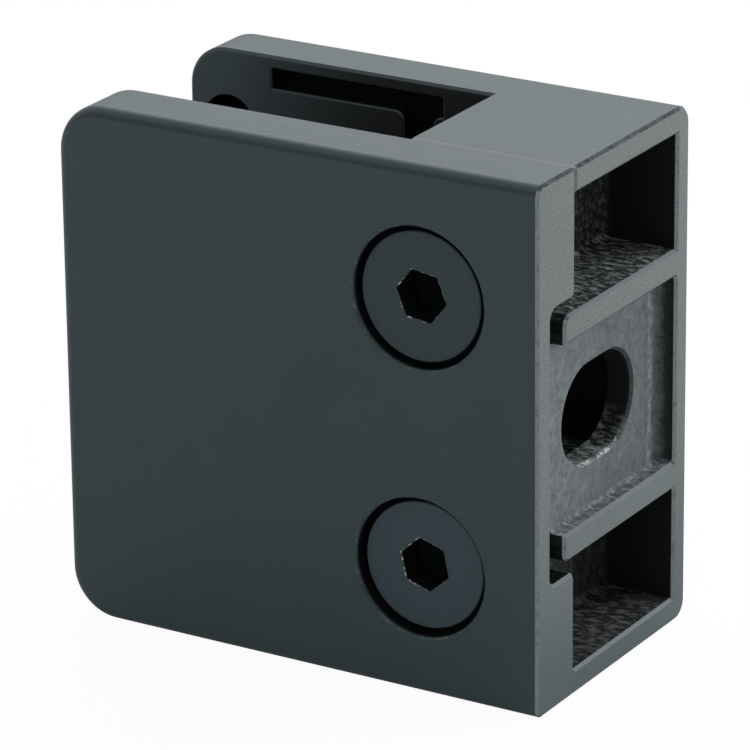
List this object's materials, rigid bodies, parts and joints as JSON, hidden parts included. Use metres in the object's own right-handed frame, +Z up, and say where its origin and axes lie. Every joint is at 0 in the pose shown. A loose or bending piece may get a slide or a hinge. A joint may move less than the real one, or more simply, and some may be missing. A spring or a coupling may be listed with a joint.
{
  "type": "glass panel clamp",
  "caption": "Clamp that grips the edge of a glass panel between a hollow cast body and a screwed cover plate, with a slotted face for bolting to a flat post.",
  "frame": {"origin": "centre of the bolt slot, in the plane of the mounting face", "axes": "+X out of the mounting face towards the post, +Z up along the post, -Y towards the cover plate"},
  "size_m": [0.045, 0.025, 0.045],
  "materials": {
    "coated_casting": "matt anthracite coating on a zinc die casting",
    "coated_screw": "satin anthracite coating on stainless steel"
  },
  "bodies": {
    "casting": {"body": "coated_casting"},
    "cover": {"cover_plate": "coated_casting"},
    "upper_screw": {"upper_screw": "coated_screw"},
    "lower_screw": {"lower_screw": "coated_screw"}
  },
  "joints": [
    {"name": "cover_slide", "type": "slide", "parent": "casting", "child": "cover", "axis": [0, -1, 0], "range_m": [0, 0.006]},
    {"name": "upper_screw_turn", "type": "hinge", "parent": "cover", "child": "upper_screw", "pos_m": [-0.0109, -0.0119, 0.0115], "axis": [0, -1, 0], "range_deg": [0, 2160]},
    {"name": "lower_screw_turn", "type": "hinge", "parent": "cover", "child": "lower_screw", "pos_m": [-0.0109, -0.01165, -0.0115], "axis": [0, -1, 0], "range_deg": [0, 2160]}
  ],
  "couplings": [
    {"joint": "upper_screw_turn", "follows": "cover_slide", "rad_per_m": 6283.2},
    {"joint": "lower_screw_turn", "follows": "cover_slide", "rad_per_m": 6283.2}
  ]
}
